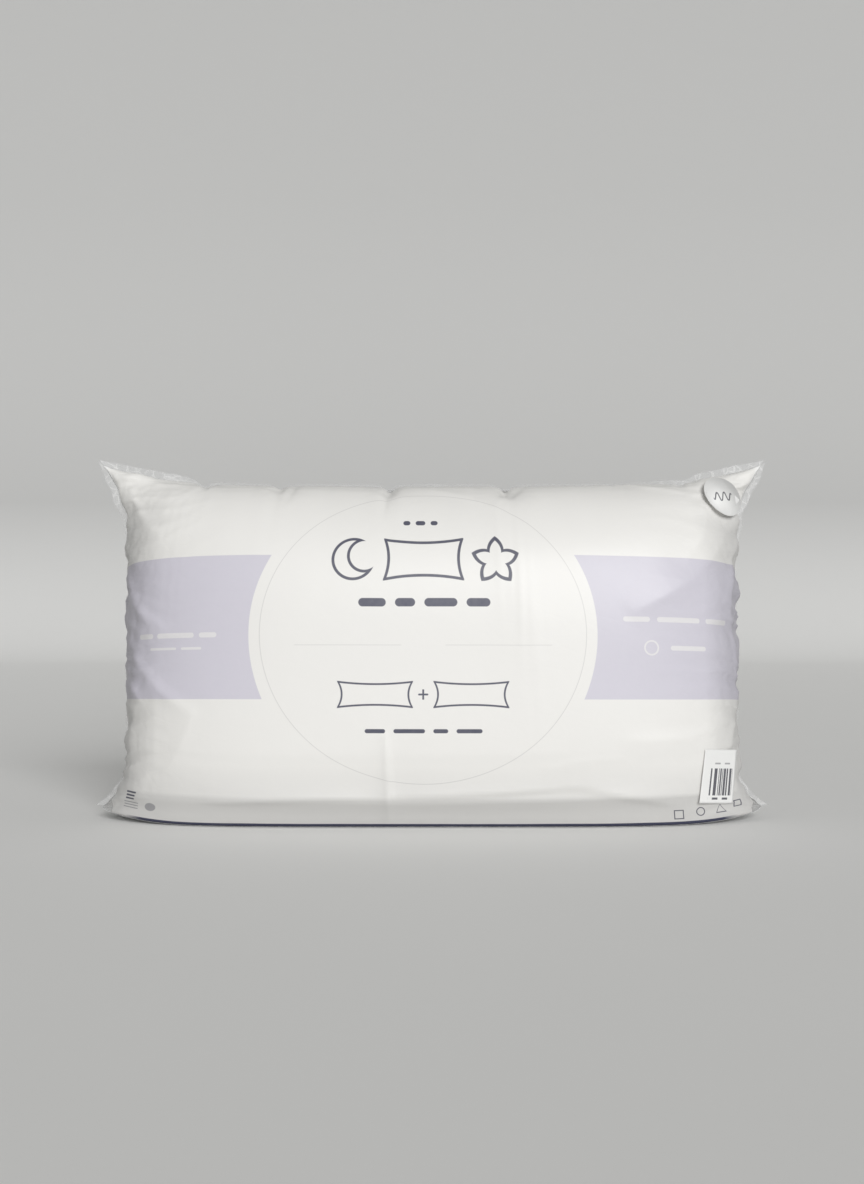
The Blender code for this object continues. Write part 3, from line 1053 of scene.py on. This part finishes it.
BACK_CREASES = (
    ((-0.300, 0.086), (0.290, 0.090), -0.004, 0.0070, 0.1000, 0.0420),
    ((-0.330, 0.032), (0.310, 0.038), -0.003, 0.0060, 0.0120, 0.0165),
    ((0.060, 0.110), (0.052, 0.012), 0.002, 0.0020, 0.0040, 0.0060),
    ((-0.200, 0.040), (0.180, 0.046), 0.004, 0.0020, 0.0030, 0.0150),
    ((-0.0458, 0.426), (-0.0400, 0.340), 0.003, -0.0024, 0.0040, 0.0060),
    ((0.0840, 0.424), (0.1000, 0.365), 0.003, -0.0024, 0.0040, 0.0060),
    ((-0.1655, 0.428), (-0.1500, 0.380), 0.003, -0.0022, 0.0040, 0.0060),
    ((0.345, 0.360), (0.215, 0.250), -0.012, 0.0034, 0.0120, 0.0180),
    ((-0.350, 0.350), (-0.235, 0.262), 0.010, 0.0034, 0.0120, 0.0180),
    ((0.360, 0.220), (0.290, 0.130), 0.008, 0.0028, 0.0070, 0.0140),
    ((-0.360, 0.230), (-0.285, 0.120), -0.008, 0.0028, 0.0070, 0.0140),
)


def creased(place, creases):
    """The height of the creases at each place of the flat sheet."""
    sharpness = 1.35
    height = np.zeros(place.shape[:2])
    for start, end, bow, rise, left, right in creases:
        start, end = np.array(start), np.array(end)
        run = np.linalg.norm(end - start)
        forward = (end - start) / run
        aside = np.array([-forward[1], forward[0]])
        offset = place[..., :2] - start
        ahead = offset @ forward / run
        along = np.clip(ahead, 0, 1)
        over = np.abs(ahead - along) * run
        off = offset @ aside - bow * 4 * along * (1 - along)
        width = np.where(off > 0, left, right)
        fade = np.sin(pi * (0.06 + 0.88 * along)) ** 0.7
        close = np.exp(-((over / (0.004 + 0.4 * left)) ** 2))
        height += rise * fade * np.exp(-((np.abs(off) / width) ** sharpness)) * close
    return height


def crumpled(place, width, height, seed):
    """Soft folds that run in from the side welds and the ears and die out over the face."""
    side_peak, top_reach, edge_reach = 0.026, 0.022, 0.006
    side_fold, top_fold, small_fold = 0.0034, 0.0016, 0.0008
    made = np.zeros(place.shape[:2])
    half = width / 2
    for row in range(place.shape[0]):
        for column in range(place.shape[1]):
            across, up = place[row, column, :2]
            inward = half - abs(across)
            near_side = inward / side_peak * np.exp(1 - inward / side_peak)
            near_top = np.exp(-(height - up) / top_reach)
            if near_side + near_top < 0.03:
                continue
            slant = up * (1 if across > 0 else -1) * 0.55
            wander = noise.noise(Vector((across * 14, up * 14, seed)))
            fold = noise.noise(Vector(((inward + slant) * 9, (up + wander * 0.02) * 52, seed + 3)))
            pleat = noise.noise(Vector((across * 60 + wander, up * 9, seed + 5)))
            fine = noise.noise(Vector((across * 130, up * 130, seed + 9)))
            at_side = near_side * (side_fold * (1 - 2.2 * abs(fold)) + small_fold * fine)
            at_top = near_top * top_fold * (1 - 2.2 * abs(pleat))
            made[row, column] = min(1.0, inward / edge_reach) * (at_side + at_top)
    return made


def sheet_places(rows, columns, width, height):
    """Each point's place in the flat sheet: across from its middle, and up from its bottom fold."""
    across, up = np.meshgrid(
        np.linspace(-width / 2, width / 2, columns), np.linspace(0, height, rows)
    )
    return np.stack([across, up, 0 * up], axis=2)


def film_face(grid, facing, creasing):
    """A face's finished points and their places in the flat sheet."""
    grid = refined(grid, FINER)
    width, height = flat_size()
    place = sheet_places(grid.shape[0], grid.shape[1], width, height)
    rise = creased(place, FRONT_CREASES if facing < 0 else BACK_CREASES)
    rise = rise + crumpled(place, width, height, 4.0 + facing)
    held_foot, held_top = 0.008, 0.010
    held = np.minimum(1, place[..., 1] / held_foot) * np.minimum(1, (height - place[..., 1]) / held_top)
    rise = creasing * rise * held
    return grid + face_normals(grid, facing) * rise[..., None], place


class TWINPACK_OT_film(bpy.types.Operator):
    """Swell the film over the pillows and lay its creases"""

    bl_idname = "twinpack.film"
    bl_label = "Printed film"

    def execute(self, context):
        settings = context.scene.twin_pack_film
        faces = {facing: start_points(facing) for facing in (-1, 1)}
        settled = swollen(settings.pressure)
        faces = {facing: calmed(settled[facing], start) for facing, start in faces.items()}
        sides = (
            (-1, "front_film", "bag_front_film", "front_pillow_cover_front_panel"),
            (1, "back_film", "bag_back_film", "rear_pillow_cover_back_panel"),
        )
        for facing, name, node, resting in sides:
            points, place = film_face(faces[facing], facing, settings.creasing)
            film = lofted(name, points, place)
            if facing > 0:
                flipped(film)
            thickened(film, settings.thickness)
            material = printed_film(settings, "printed film, " + name, facing < 0)
            dressed(film, material, "printed_film", node)
            flat_size()
        return {"FINISHED"}


# ---------------------------------------------------------------- welds, base and flaps


def weld_points(edge):
    """The finished film's points along one weld, in order."""
    film = bpy.data.objects["front_film"].data
    co = np.array([vertex.co for vertex in film.vertices])
    rows, columns = ROWS * FINER + 1, COLUMNS * FINER + 1
    grid = co.reshape(rows, columns, 3)
    if edge == "top":
        return grid[-1]
    return grid[:, 0] if edge == "left" else grid[:, -1]


def margin(name, line, directions, width, node, material):
    """A strip of clear film outside a weld, a little ragged at its outer edge."""
    steps, thickness = 5, 0.00025
    raggedness, ruffle_height = 0.05, 0.0018
    rows = []
    for step in range(steps + 1):
        share_out = step / steps
        row = []
        for k, (point, direction) in enumerate(zip(line, directions)):
            ragged = 1 + raggedness * noise.noise(Vector((k * 0.35, 3.0, 7.0))) * share_out
            ruffle = ruffle_height * share_out * noise.noise(Vector(point) * 60)
            ripple = Vector((0, ruffle, ruffle * 0.4))
            row.append(Vector(point) + Vector(direction) * (width * share_out * ragged) + ripple)
        rows.append(row)
    strip = lofted(name, np.array(rows))
    thickened(strip, thickness, 0.0)
    return dressed(strip, material, "clear_film", node)


def unit(vector):
    return np.array(vector) / np.linalg.norm(vector)


def eased(value, start=0.0, run=1.0):
    """Rises smoothly from 0 at start to 1 once a run further on. A negative run rises the other way."""
    share_on = min(1.0, max(0.0, (value - start) / run))
    return share_on * share_on * (3 - 2 * share_on)


def top_directions(line):
    """Folded back along the middle, standing up and out at the ears."""
    back = np.array([0, 0.93, 0.36])
    made = []
    for x, _, _ in line:
        stand = eased(abs(x), 0.235, 0.10)
        lean = np.sign(x) * 0.75 * eased(abs(x), 0.345, 0.03)
        made.append(unit(back * (1 - stand) + np.array([lean, 0.05, 1.0]) * stand))
    return made


def side_directions(line, side):
    """Folded back along the middle, pointing out at the two ears."""
    back = np.array([side * 0.42, 0.90, 0])
    made = []
    for _, _, z in line:
        high = eased(z, EAR_TOP - 0.11, 0.07)
        low = eased(z, 0.065, -0.04)
        tip = eased(z, EAR_TOP - 0.022, 0.022)
        out = np.array([side, 0.05, 0.75 * tip + 0.1 * low])
        made.append(unit(back * (1 - max(high, low)) + out * max(high, low)))
    return made


class TWINPACK_OT_welds(bpy.types.Operator):
    """Add the clear film outside the three welds"""

    bl_idname = "twinpack.welds"
    bl_label = "Clear weld margins"

    def execute(self, context):
        settings = context.scene.twin_pack_film
        material = clear_film(settings, "clear film, welds", 0.06)
        top = weld_points("top")
        margin("top_seal", top, top_directions(top), settings.margin, "bag_top_seal", material)
        for side, edge in ((-1, "left"), (1, "right")):
            line = weld_points(edge)
            name = edge + "_seal"
            margin(name, line, side_directions(line, side), settings.margin, "bag_" + name, material)
        return {"FINISHED"}


def base_points(front, back):
    """Rows of points from the front fold to the back one, a little wrinkled near the two ends."""
    rows, columns = BASE_ROWS, len(front) - 1
    wrinkle, below_folds = 0.004, 0.0005
    points = np.empty((rows + 1, columns + 1, 3))
    for row in range(rows + 1):
        share_back = row / rows
        points[row] = front * (1 - share_back) + back * share_back
        points[row, :, 2] -= below_folds
    for row in range(1, rows):
        for column in range(1, columns):
            x, y, z = points[row, column]
            rise = wrinkle * eased(abs(x), 0.30, 0.05)
            points[row, column, 2] = z + rise * abs(noise.noise(Vector((x * 45, y * 38, 2.0))))
    return points


class TWINPACK_OT_base(bpy.types.Operator):
    """Lay the bottom sheet between the front and the back fold"""

    bl_idname = "twinpack.base"
    bl_label = "Base gusset"

    def execute(self, context):
        settings = context.scene.twin_pack_film
        front, back = (resampled(bottom_line(facing), COLUMNS * FINER + 1) for facing in (-1, 1))
        base = lofted("base_gusset", base_points(front, back))
        flipped(base)
        thickened(base, settings.thickness)
        dressed(base, clear_film(settings, "clear film, base", 0.42), "clear_film", "bag_base_gusset")
        length_of(front)
        return {"FINISHED"}


# ---------------------------------------------------------------- stickers


# How far the stickers sit from their CAD nodes, across and up, and how much of the film's bend
# their stiff paper follows.
BARCODE_SHIFT = (0.010, -0.004)
PRICE_SHIFT = (0.007, 0.011)
PAPER_GIVE = 0.35


def film_tree():
    """The front film as a search tree, for laying stickers on."""
    film = bpy.data.objects["front_film"]
    return BVHTree.FromObject(film, bpy.context.evaluated_depsgraph_get())


def resting_plane(tree, centre):
    """The middle and the outward direction of the front film round a place on it."""
    half, reach = 0.018, 0.04
    hit, _, _, _ = tree.ray_cast(Vector((centre[0], -1.0, centre[1])), Vector((0, 1, 0)))
    spots = []
    for across in np.linspace(-half, half, 7):
        for up in np.linspace(-half, half, 7):
            found, _, _, _ = tree.ray_cast(hit + Vector((across, -0.2, up)), Vector((0, 1, 0)))
            if found is not None and (found - hit).length < reach:
                spots.append(found)
    middle = sum(spots, Vector()) / len(spots)
    normal = Vector(np.linalg.svd(np.array(spots) - np.array(middle))[2][2])
    return middle, normal if normal.y < 0 else -normal


def laid_on_film(shape, centre, tilt, lift=None):
    """Lays a flat bmesh, drawn round nought, on the front film, as evenly bent as stiff paper.

    lift, where given, says how far a place on it stands off the film.
    """
    tree = film_tree()
    middle, normal = resting_plane(tree, centre)
    up = (Vector((0, 0, 1)) - normal * normal.z).normalized()
    turn = Matrix.Rotation(tilt, 3, normal)
    right, up = turn @ up.cross(normal), turn @ up
    start, reach, gap = 0.05, 0.015, 0.0005
    places = []
    heights = []
    for vertex in shape.verts:
        flat = middle + right * vertex.co.x + up * vertex.co.y
        found, _, _, _ = tree.ray_cast(flat + normal * start, -normal)
        if found is not None and (found - flat).length < reach:
            places.append((vertex.co.x, vertex.co.y))
            heights.append((found - flat).dot(normal))
    places, heights = np.array(places), np.array(heights)
    bend = np.linalg.lstsq(bend_terms(places), heights, rcond=None)[0]
    bend[3:] *= PAPER_GIVE
    clear = float(np.percentile(heights - bend_terms(places) @ bend, 99.5))
    kept = shape.verts.layers.float_vector.new("sheet_place")
    for vertex in shape.verts:
        across, rise, _ = vertex.co
        vertex[kept] = (across, rise, 0)
        height = float((bend_terms(np.array([[across, rise]])) @ bend)[0]) + clear
        height += gap + (lift(across, rise) if lift else 0.0)
        vertex.co = middle + right * across + up * rise + normal * height


def bend_terms(places):
    """The terms of an evenly bent surface at each place."""
    across, rise = places[:, 0], places[:, 1]
    return np.column_stack([np.ones(len(places)), across, rise, across**2, across * rise, rise**2])


def round_outline(radius):
    """A disc with enough rings inside it to bend."""
    rings = 10
    shape = bmesh.new()
    bmesh.ops.create_circle(shape, cap_ends=True, segments=64, radius=radius)
    for _ in range(rings - 1):
        inner = max(shape.faces, key=lambda face: len(face.verts))
        bmesh.ops.inset_region(shape, faces=[inner], thickness=radius / rings, use_even_offset=True)
    return shape


def square_outline(width, height):
    """A rectangle with enough rows inside it to bend."""
    shape = bmesh.new()
    bmesh.ops.create_grid(shape, x_segments=20, y_segments=24, size=1.0)
    bmesh.ops.scale(shape, vec=(width / 2, height / 2, 1), verts=shape.verts)
    return shape


def stick(name, shape, node, shift, tilt, thickness, material, lift=None):
    """Sticks a paper outline on the front film, near the CAD node that it stands for."""
    low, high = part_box(node)
    middle = (low + high) / 2
    laid_on_film(shape, (middle.x + shift[0], middle.z + shift[1]), tilt, lift)
    sticker = finished(name, shape)
    thickened(sticker, thickness, 1.0)
    return dressed(sticker, material, "label_paper", node)


class TWINPACK_OT_stickers(bpy.types.Operator):
    """Stick the price sticker and the barcode sticker on the front"""

    bl_idname = "twinpack.stickers"
    bl_label = "Stickers"

    def execute(self, context):
        settings = context.scene.twin_pack_labels
        radius = settings.price_size / 2

        def loose_side(across, rise):
            away = (-0.8 * across - 0.6 * rise) / radius
            return settings.price_lift * eased(away, -0.35, 1.35)

        paper = sticker_paper(settings, "sticker paper, price", pen_line)
        outline = round_outline(radius)
        stick("price_sticker", outline, "price_label", PRICE_SHIFT, radians(-8), 0.0003, paper, loose_side)
        paper = sticker_paper(settings, "sticker paper, barcode", barcode_bars)
        outline = square_outline(settings.barcode_width, settings.barcode_height)
        stick("barcode_sticker", outline, "barcode_label", BARCODE_SHIFT, radians(-4), 0.0002, paper)
        return {"FINISHED"}


# ---------------------------------------------------------------- pillows


def body_of_fill(node):
    """An even, closed copy of a filling, for the pieces that follow its shape."""
    shape = bmesh.new()
    shape.from_mesh(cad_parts[node].data)
    bmesh.ops.remove_doubles(shape, verts=shape.verts, dist=0.00002)
    body = finished("filling_in_the_making", shape)
    even = body.modifiers.new("Even", "REMESH")
    even.mode = "VOXEL"
    even.voxel_size = 0.005
    settled = body.evaluated_get(bpy.context.evaluated_depsgraph_get())
    made = bmesh.new()
    made.from_mesh(settled.data)
    bpy.data.objects.remove(body)
    axes = {"use_axis_x": True, "use_axis_y": True, "use_axis_z": True}
    for _ in range(4):
        bmesh.ops.smooth_vert(made, verts=made.verts, factor=0.5, **axes)
    made.normal_update()
    return made


def lumpy(shape, depth, inset):
    """Draws a surface in by an inset and by soft uneven hollows."""
    moves = []
    for vertex in shape.verts:
        big = noise.noise(vertex.co * 16)
        small = noise.noise(vertex.co * 48 + Vector((3, 1, 4)))
        hollow = depth * (0.5 + 0.7 * big + 0.35 * small)
        moves.append(vertex.normal * -(inset + min(max(hollow, 0), depth)))
    for vertex, move in zip(shape.verts, moves):
        vertex.co += move


# How far a pillow's cover is drawn in, and the filling's gap inside the cover.
COVER_DRAW = 0.0010
FILL_GAP = 0.0016

# How deep the rumples are where the two pillows press on each other, and how far that reaches.
RUMPLE = 0.006
RUMPLE_REACH = 0.014


def puckered(shape, seam_y, depth, proud):
    """Stands a cover proud of its filling, drawn into puckers along its seam."""
    seam_reach = 0.016
    moves = []
    for vertex in shape.verts:
        co = vertex.co
        near_seam = np.exp(-abs(co.y - seam_y) / seam_reach)
        ripple = sin((co.x + co.z) * 340 + 4 * noise.noise(co * 20))
        soft = noise.noise(co * 22)
        draw = depth * (near_seam * (0.5 + 0.5 * ripple) + 0.35 * (1 - near_seam) * (0.5 + soft))
        if abs(co.y) < RUMPLE_REACH:
            draw += RUMPLE * min(1, abs(noise.noise(co * 36)) * 2.4)
        moves.append(vertex.normal * (proud - draw))
    for vertex, move in zip(shape.verts, moves):
        vertex.co += move


def half_of(shape, seam_y, side):
    """The half of a closed shape in front of or behind its seam."""
    half = shape.copy()
    bmesh.ops.bisect_plane(
        half,
        geom=[*half.verts, *half.edges, *half.faces],
        plane_co=(0, seam_y, 0),
        plane_no=(0, -side, 0),
        clear_outer=True,
    )
    return half


class TWINPACK_OT_pillows(bpy.types.Operator):
    """Make both pillows: filling and two cover panels, and give the seams and care tag their finishes"""

    bl_idname = "twinpack.pillows"
    bl_label = "Pillows"

    def execute(self, context):
        settings = context.scene.twin_pack_pillows
        cover_finish = microfibre(settings, "brushed microfibre")
        fibre_finish = hollow_fibre(settings, "hollow fibre")
        edge_finish = sewing_thread(settings, "overlocked thread", 330)
        closing_finish = sewing_thread(settings, "closing thread", 260)
        tag_finish = woven_tag(settings, "woven care tag")
        for pillow in ("front_pillow", "rear_pillow"):
            low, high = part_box(pillow + "_edge_seam")
            seam_y = (low.y + high.y) / 2
            body = body_of_fill(pillow + "_fibre_fill")
            cover = body.copy()
            puckered(cover, seam_y, settings.pucker, -COVER_DRAW)
            for side, name in ((-1, "_cover_front"), (1, "_cover_back")):
                panel = finished(pillow + name + "_panel", half_of(cover, seam_y, side))
                thickened(panel, settings.cloth)
                dressed(panel, cover_finish, "microfibre", pillow + name)
            cover.free()
            lumpy(body, settings.lump, settings.pucker + RUMPLE + FILL_GAP)
            filling = finished(pillow + "_filling", body)
            dressed(filling, fibre_finish, "hollow_fibre", pillow + "_fibre_fill")
            kept = {"_edge_seam": edge_finish, "_closing_seam": closing_finish, "_care_label": tag_finish}
            for name, material in kept.items():
                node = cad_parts[pillow + name]
                node.data.materials.clear()
                node.data.materials.append(material)
        return {"FINISHED"}


# ---------------------------------------------------------------- stage


# Where the main light comes from, and the colour of the even light all round.
KEY_PLACE = (0.55, -2.0, 0.84)
AMBIENT_COLOUR = (0.83, 0.83, 0.81, 1)


def aimed(thing, place, target):
    """Puts a light or a camera somewhere, looking at a target."""
    thing.location = place
    thing.rotation_euler = (Vector(target) - Vector(place)).to_track_quat("-Z", "Y").to_euler()
    bpy.context.scene.collection.objects.link(thing)


def paper_sweep():
    """Backdrop paper that lies on the floor and curves up far behind the pack."""
    reach, bend, height, half_width = 4.0, 2.2, 5.0, 9.0
    shape = bmesh.new()
    start = shape.verts.new((-half_width, -half_width, 0))
    foot = shape.verts.new((-half_width, reach, 0))
    shape.edges.new((start, foot))
    turned = bmesh.ops.spin(
        shape, geom=[foot], cent=(0, reach, bend), axis=(1, 0, 0), angle=pi / 2, steps=32, use_merge=False
    )
    last = [item for item in turned["geom_last"] if isinstance(item, bmesh.types.BMVert)]
    risen = bmesh.ops.extrude_vert_indiv(shape, verts=last)
    bmesh.ops.translate(shape, verts=risen["verts"], vec=(0, 0, height))
    wide = bmesh.ops.extrude_edge_only(shape, edges=list(shape.edges))
    moved = [item for item in wide["geom"] if isinstance(item, bmesh.types.BMVert)]
    bmesh.ops.translate(shape, verts=moved, vec=(2 * half_width, 0, 0))
    bmesh.ops.recalc_face_normals(shape, faces=shape.faces)
    return finished("backdrop", shape)


class TWINPACK_OT_stage(bpy.types.Operator):
    """Make the floor, the lights, the surroundings and the camera"""

    bl_idname = "twinpack.stage"
    bl_label = "Stage"

    def execute(self, context):
        settings = context.scene.twin_pack_stage
        scene = context.scene
        floor = paper_sweep()
        floor.data.materials.append(studio_floor(settings, "backdrop paper"))
        floor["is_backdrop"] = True

        surroundings = bpy.data.worlds.new("studio")
        surroundings.use_nodes = True
        background = surroundings.node_tree.nodes["Background"]
        background.inputs["Color"].default_value = AMBIENT_COLOUR
        background.inputs["Strength"].default_value = settings.ambient
        scene.world = surroundings

        lamp = bpy.data.lights.new("key light", "SUN")
        lamp.energy = settings.key_strength
        lamp.angle = settings.key_softness
        aimed(bpy.data.objects.new("key light", lamp), KEY_PLACE, (0, 0, 0))

        lens = bpy.data.cameras.new("camera")
        lens.lens = 50
        lens.sensor_width = 36
        camera = bpy.data.objects.new("camera", lens)
        height = settings.camera_height
        aimed(camera, (0, -settings.camera_distance, height), (0, 0, height))
        scene.camera = camera
        scene.view_settings.view_transform = "Standard"
        return {"FINISHED"}


# ---------------------------------------------------------------- add-on

SETTINGS = {
    "twin_pack_film": TwinPackFilm,
    "twin_pack_labels": TwinPackLabels,
    "twin_pack_pillows": TwinPackPillows,
    "twin_pack_stage": TwinPackStage,
}

OPERATORS = (
    TWINPACK_OT_film,
    TWINPACK_OT_welds,
    TWINPACK_OT_base,
    TWINPACK_OT_stickers,
    TWINPACK_OT_pillows,
    TWINPACK_OT_stage,
)


class VIEW3D_PT_twin_pack(bpy.types.Panel):
    """Lists the settings and the pieces of the pack"""

    bl_label = "Twin pack"
    bl_space_type = "VIEW_3D"
    bl_region_type = "UI"
    bl_category = "Twin pack"

    def draw(self, context):
        for name, group in SETTINGS.items():
            box = self.layout.box()
            box.label(text=group.__doc__)
            settings = getattr(context.scene, name)
            for key in group.__annotations__:
                box.prop(settings, key)
        for operator in OPERATORS:
            self.layout.operator(operator.bl_idname)


def register():
    for name, group in SETTINGS.items():
        bpy.utils.register_class(group)
        setattr(bpy.types.Scene, name, PointerProperty(type=group))
    for one in (*OPERATORS, VIEW3D_PT_twin_pack):
        bpy.utils.register_class(one)


def unregister():
    for one in (VIEW3D_PT_twin_pack, *reversed(OPERATORS)):
        bpy.utils.unregister_class(one)
    for name, group in reversed(SETTINGS.items()):
        delattr(bpy.types.Scene, name)
        bpy.utils.unregister_class(group)


def main():
    register()
    bpy.ops.twinpack.film()
    bpy.ops.twinpack.welds()
    bpy.ops.twinpack.base()
    bpy.ops.twinpack.stickers()
    bpy.ops.twinpack.pillows()
    bpy.ops.twinpack.stage()
    boxes = {"cad": CAD_BOX, "visual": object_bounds()}
    {name: [list(corner) for corner in box] for name, box in boxes.items()}


if __name__ == "__main__":
    main()
